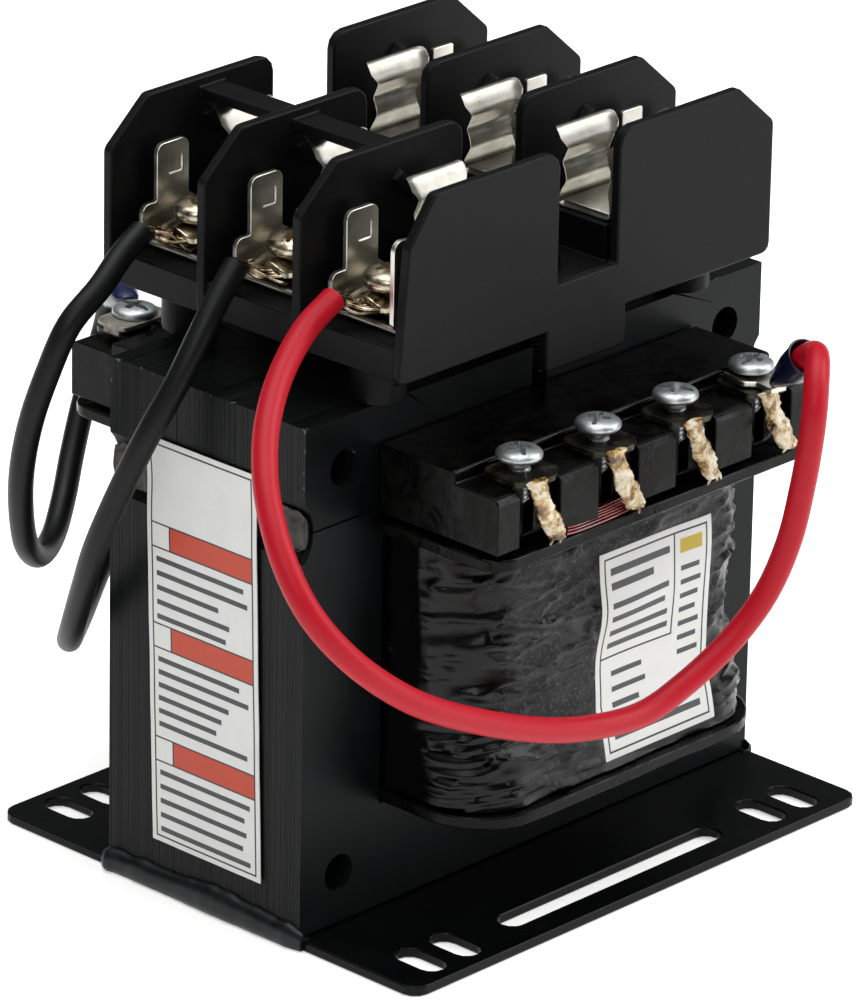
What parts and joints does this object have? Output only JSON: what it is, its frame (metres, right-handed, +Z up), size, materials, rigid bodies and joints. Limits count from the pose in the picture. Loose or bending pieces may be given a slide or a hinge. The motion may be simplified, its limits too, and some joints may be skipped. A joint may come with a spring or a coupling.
{
  "type": "control transformer",
  "caption": "Open-frame control transformer: welded lamination core on a slotted foot plate, taped coil, screw terminal boards and a fuse clip block wired on top.",
  "frame": {"origin": "centre of the foot plate's underside", "axes": "+X runs along the front face, -Y is the front with the coil label and the unused screws, +Z is up"},
  "size_m": [0.1225, 0.12, 0.1127],
  "materials": {
    "black_dipped_steel": "black varnish dip, slightly glossy",
    "weld_metal": "rough bead under the varnish",
    "varnished_laminations": "black-brown varnish over stacked sheet edges",
    "black_moulding": "moulded, satin, some varnish spots",
    "enamelled_wire": "enamelled copper",
    "kraft_insulation": "plain insulating wrap",
    "varnished_tape": "wrinkled, varnished",
    "tinned_brass": "bright tin over brass, warm stains",
    "zinc_screw": "bright zinc",
    "label_paper": "white vinyl with plain colour bands",
    "red_insulation": "soft plastic, scuffed",
    "black_insulation": "soft plastic",
    "blue_insulation": "soft plastic sleeve"
  },
  "bodies": {
    "root": {"base_plate": "black_dipped_steel", "base_weld_left": "weld_metal", "base_weld_right": "weld_metal", "joint_weld_left": "weld_metal", "joint_weld_right": "weld_metal", "core_e_stack": "varnished_laminations", "core_i_stack": "varnished_laminations", "coil_form": "black_moulding", "front_terminal_board": "black_moulding", "rear_terminal_board": "black_moulding", "fuse_block_base": "black_moulding", "primary_winding": "enamelled_wire", "secondary_winding": "enamelled_wire", "interwinding_insulation": "kraft_insulation", "coil_wrap": "varnished_tape", "front_lug_1": "tinned_brass", "front_lug_2": "tinned_brass", "front_lug_3": "tinned_brass", "front_lug_4": "tinned_brass", "rear_lug_1": "tinned_brass", "rear_lug_2": "tinned_brass", "rear_lug_3": "tinned_brass", "rear_lug_4": "tinned_brass", "clip_terminal_left_1": "tinned_brass", "clip_terminal_left_2": "tinned_brass", "clip_terminal_left_3": "tinned_brass", "clip_terminal_right_1": "tinned_brass", "clip_terminal_right_2": "tinned_brass", "clip_terminal_right_3": "tinned_brass", "front_screw_1": "zinc_screw", "front_screw_2": "zinc_screw", "front_screw_3": "zinc_screw", "front_screw_4": "zinc_screw", "rear_screw_1": "zinc_screw", "rear_screw_2": "zinc_screw", "rear_screw_3": "zinc_screw", "rear_screw_4": "zinc_screw", "block_screw_left_1": "zinc_screw", "block_screw_left_2": "zinc_screw", "block_screw_left_3": "zinc_screw", "block_screw_right_1": "zinc_screw", "block_screw_right_2": "zinc_screw", "block_screw_right_3": "zinc_screw", "pressure_plate_left_1": "zinc_screw", "pressure_plate_left_2": "zinc_screw", "pressure_plate_left_3": "zinc_screw", "pressure_plate_right_1": "zinc_screw", "pressure_plate_right_2": "zinc_screw", "pressure_plate_right_3": "zinc_screw", "block_mount_screw_1": "zinc_screw", "block_mount_screw_2": "zinc_screw", "rear_wire_clamp": "zinc_screw", "side_label": "label_paper", "coil_label": "label_paper", "red_lead": "red_insulation", "black_lead_rear": "black_insulation", "black_lead_middle": "black_insulation", "red_lead_fork": "blue_insulation", "black_lead_rear_fork": "blue_insulation", "black_lead_middle_fork": "blue_insulation"}
  },
  "joints": []
}
